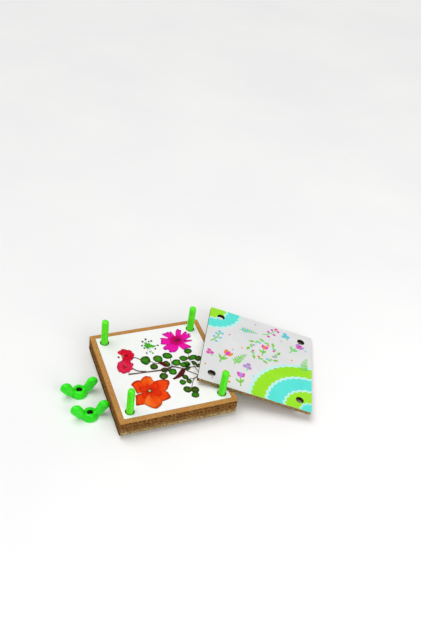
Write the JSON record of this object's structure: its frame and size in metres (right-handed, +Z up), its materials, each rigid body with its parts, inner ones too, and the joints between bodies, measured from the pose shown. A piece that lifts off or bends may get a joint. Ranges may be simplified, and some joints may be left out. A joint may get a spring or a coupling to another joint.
{
  "type": "flower press",
  "caption": "Small square flower press, opened: cards and blotting papers on bolts, pressed flowers on top, the lid leaning against the stack and wing nuts taken off.",
  "frame": {"origin": "on the surface that the press stands on, under the middle of the stack of cards", "axes": "+Z up along the bolts, +X towards the lid, -Y towards the front"},
  "size_m": [0.2402, 0.1347, 0.044],
  "materials": {
    "fibreboard": "rough cut edge",
    "corrugated_card": "matte kraft",
    "blotting_paper": "matte",
    "green_plastic": "gloss",
    "printed_paper": "satin print",
    "cosmos_petals": "dry petal",
    "red_petals": "dry petal",
    "umbel_green": "dry leaf",
    "orange_petals": "dry petal",
    "leaves": "dry leaf"
  },
  "bodies": {
    "base": {"base_board": "fibreboard"},
    "blotter_1": {"blotter_1": "blotting_paper"},
    "card_1": {"card_1": "corrugated_card"},
    "blotter_2": {"blotter_2": "blotting_paper"},
    "card_2": {"card_2": "corrugated_card"},
    "blotter_3": {"blotter_3": "blotting_paper"},
    "card_3": {"card_3": "corrugated_card"},
    "blotter_top": {"blotter_top": "blotting_paper", "pressed_cosmos": "cosmos_petals", "pressed_red_flowers": "red_petals", "pressed_umbel": "umbel_green", "pressed_orange_flower": "orange_petals", "pressed_leaf_sprig": "leaves"},
    "lid": {"lid_board": "fibreboard", "lid_print": "printed_paper"},
    "bolt_front_left": {"bolt_front_left": "green_plastic"},
    "bolt_back_left": {"bolt_back_left": "green_plastic"},
    "bolt_back_right": {"bolt_back_right": "green_plastic"},
    "bolt_front_right": {"bolt_front_right": "green_plastic"},
    "wing_nut_left_front": {"wing_nut_left_front": "green_plastic"},
    "wing_nut_left_back": {"wing_nut_left_back": "green_plastic"},
    "wing_nut_spare_front": {"wing_nut_spare_front": "green_plastic"},
    "wing_nut_spare_back": {"wing_nut_spare_back": "green_plastic"}
  },
  "joints": [
    {"name": "lift_blotter_1", "type": "slide", "parent": "base", "child": "blotter_1", "axis": [0, 0, 1], "range_m": [0, 0.0373]},
    {"name": "lift_card_1", "type": "slide", "parent": "blotter_1", "child": "card_1", "axis": [0, 0, 1], "range_m": [0, 0.0369]},
    {"name": "lift_blotter_2", "type": "slide", "parent": "card_1", "child": "blotter_2", "axis": [0, 0, 1], "range_m": [0, 0.0337]},
    {"name": "lift_card_2", "type": "slide", "parent": "blotter_2", "child": "card_2", "axis": [0, 0, 1], "range_m": [0, 0.0333]},
    {"name": "lift_blotter_3", "type": "slide", "parent": "card_2", "child": "blotter_3", "axis": [0, 0, 1], "range_m": [0, 0.0301]},
    {"name": "lift_card_3", "type": "slide", "parent": "blotter_3", "child": "card_3", "axis": [0, 0, 1], "range_m": [0, 0.0297]},
    {"name": "lift_blotter_top", "type": "slide", "parent": "card_3", "child": "blotter_top", "axis": [0, 0, 1], "range_m": [0, 0.0265]},
    {"name": "lift_lid", "type": "slide", "parent": "blotter_top", "child": "lid", "axis": [0, 0, 1], "range_m": [0, 0.04]},
    {"name": "turn_bolt_front_left", "type": "hinge", "parent": "base", "child": "bolt_front_left", "pos_m": [-0.0392, -0.0392, 0], "axis": [0, 0, 1], "continuous": true},
    {"name": "turn_bolt_back_left", "type": "hinge", "parent": "base", "child": "bolt_back_left", "pos_m": [-0.0392, 0.0392, 0], "axis": [0, 0, 1], "continuous": true},
    {"name": "turn_bolt_back_right", "type": "hinge", "parent": "base", "child": "bolt_back_right", "pos_m": [0.0392, 0.0392, 0], "axis": [0, 0, 1], "continuous": true},
    {"name": "turn_bolt_front_right", "type": "hinge", "parent": "base", "child": "bolt_front_right", "pos_m": [0.0392, -0.0392, 0], "axis": [0, 0, 1], "continuous": true},
    {"name": "lift_wing_nut_left_front", "type": "slide", "parent": "base", "child": "wing_nut_left_front", "axis": [0, 0, 1], "range_m": [0, 0.046]},
    {"name": "lift_wing_nut_left_back", "type": "slide", "parent": "base", "child": "wing_nut_left_back", "axis": [0, 0, 1], "range_m": [0, 0.046]},
    {"name": "draw_out_wing_nut_spare_front", "type": "slide", "parent": "base", "child": "wing_nut_spare_front", "axis": [0, -1, 0], "range_m": [0, 0.055]},
    {"name": "draw_out_wing_nut_spare_back", "type": "slide", "parent": "base", "child": "wing_nut_spare_back", "axis": [0, 1, 0], "range_m": [0, 0.052]}
  ]
}
